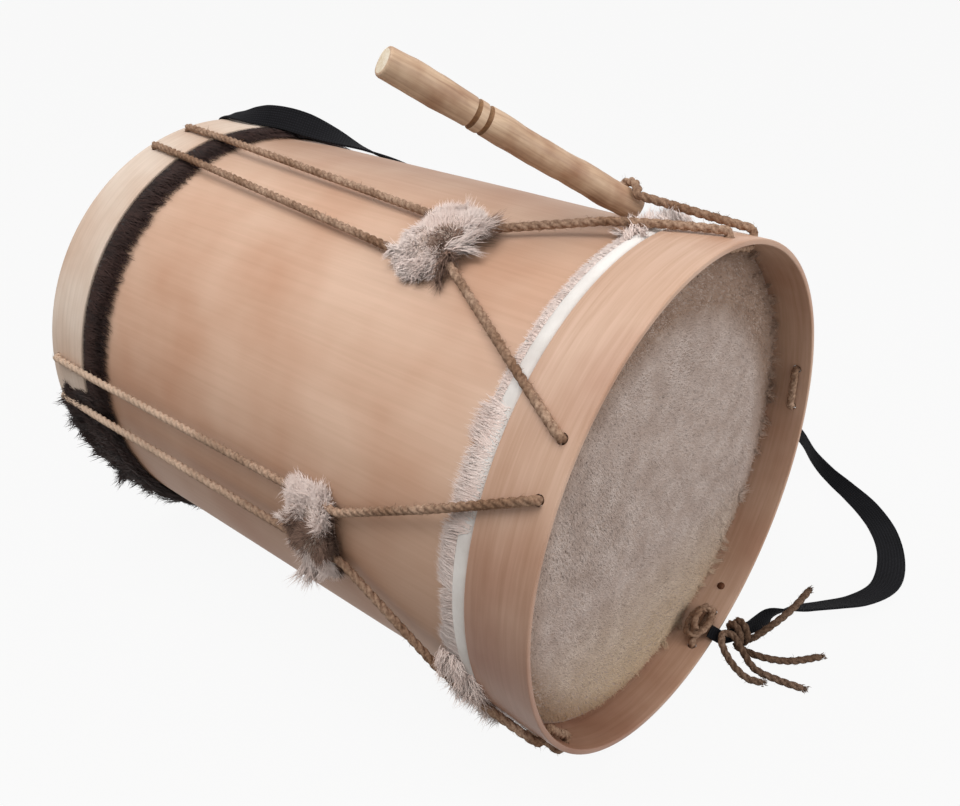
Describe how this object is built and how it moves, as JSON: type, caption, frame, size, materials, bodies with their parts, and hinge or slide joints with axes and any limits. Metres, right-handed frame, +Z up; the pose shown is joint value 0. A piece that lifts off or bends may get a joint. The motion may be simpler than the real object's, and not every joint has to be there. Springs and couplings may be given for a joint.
{
  "type": "bombo leguero drum",
  "caption": "Rope-laced log drum with hide heads, wooden hoops, sliding sheepskin tensioners, a carrying strap and a beater tucked under the lacing.",
  "frame": {"origin": "on the ground under the middle of the drum, which lies on its two hoops", "axes": "+Y along the drum's axis from the front head to the rear head, +Z up"},
  "size_m": [0.5345, 0.4986, 0.3902],
  "materials": {
    "shell_wood": "smooth matte wood",
    "hoop_wood": "bent tan wood, satin",
    "rear_hoop_wood": "bent pale wood, satin",
    "ring_wood": "raw bent wood",
    "beater_wood": "turned wood",
    "clipped_hide": "hide with short clipped wool",
    "dark_hide": "hide with dark fur",
    "sheepskin": "sheepskin with long wool",
    "jute": "twisted jute, fuzzy",
    "webbing": "woven webbing"
  },
  "bodies": {
    "drum": {"shell": "shell_wood", "front_hoop": "hoop_wood", "rear_hoop": "rear_hoop_wood", "front_flesh_hoop": "ring_wood", "rear_flesh_hoop": "ring_wood", "front_head": "clipped_hide", "rear_head": "dark_hide", "lacing_1": "jute", "lacing_2": "jute", "lacing_3": "jute", "lacing_4": "jute", "lacing_5": "jute", "strap": "webbing", "strap_tie": "jute", "rope_ends": "jute"},
    "tensioner_1": {"tensioner_1": "sheepskin"},
    "tensioner_2": {"tensioner_2": "sheepskin"},
    "tensioner_3": {"tensioner_3": "sheepskin"},
    "tensioner_4": {"tensioner_4": "sheepskin"},
    "tensioner_5": {"tensioner_5": "sheepskin"},
    "beater": {"beater": "beater_wood"}
  },
  "joints": [
    {"name": "tensioner_1_slide", "type": "slide", "parent": "drum", "child": "tensioner_1", "axis": [0, -1, 0], "range_m": [-0.06, 0.045], "deforming": ["lacing_1"]},
    {"name": "tensioner_2_slide", "type": "slide", "parent": "drum", "child": "tensioner_2", "axis": [0, -1, 0], "range_m": [-0.06, 0.045], "deforming": ["lacing_2"]},
    {"name": "tensioner_3_slide", "type": "slide", "parent": "drum", "child": "tensioner_3", "axis": [0, -1, 0], "range_m": [-0.06, 0.045], "deforming": ["lacing_3"]},
    {"name": "tensioner_4_slide", "type": "slide", "parent": "drum", "child": "tensioner_4", "axis": [0, -1, 0], "range_m": [-0.06, 0.045], "deforming": ["lacing_4"]},
    {"name": "tensioner_5_slide", "type": "slide", "parent": "drum", "child": "tensioner_5", "axis": [0, -1, 0], "range_m": [-0.06, 0.045], "deforming": ["lacing_5"]},
    {"name": "beater_pull", "type": "slide", "parent": "drum", "child": "beater", "axis": [-0.7535, 0.399, 0.5225], "range_m": [0, 0.2]}
  ]
}
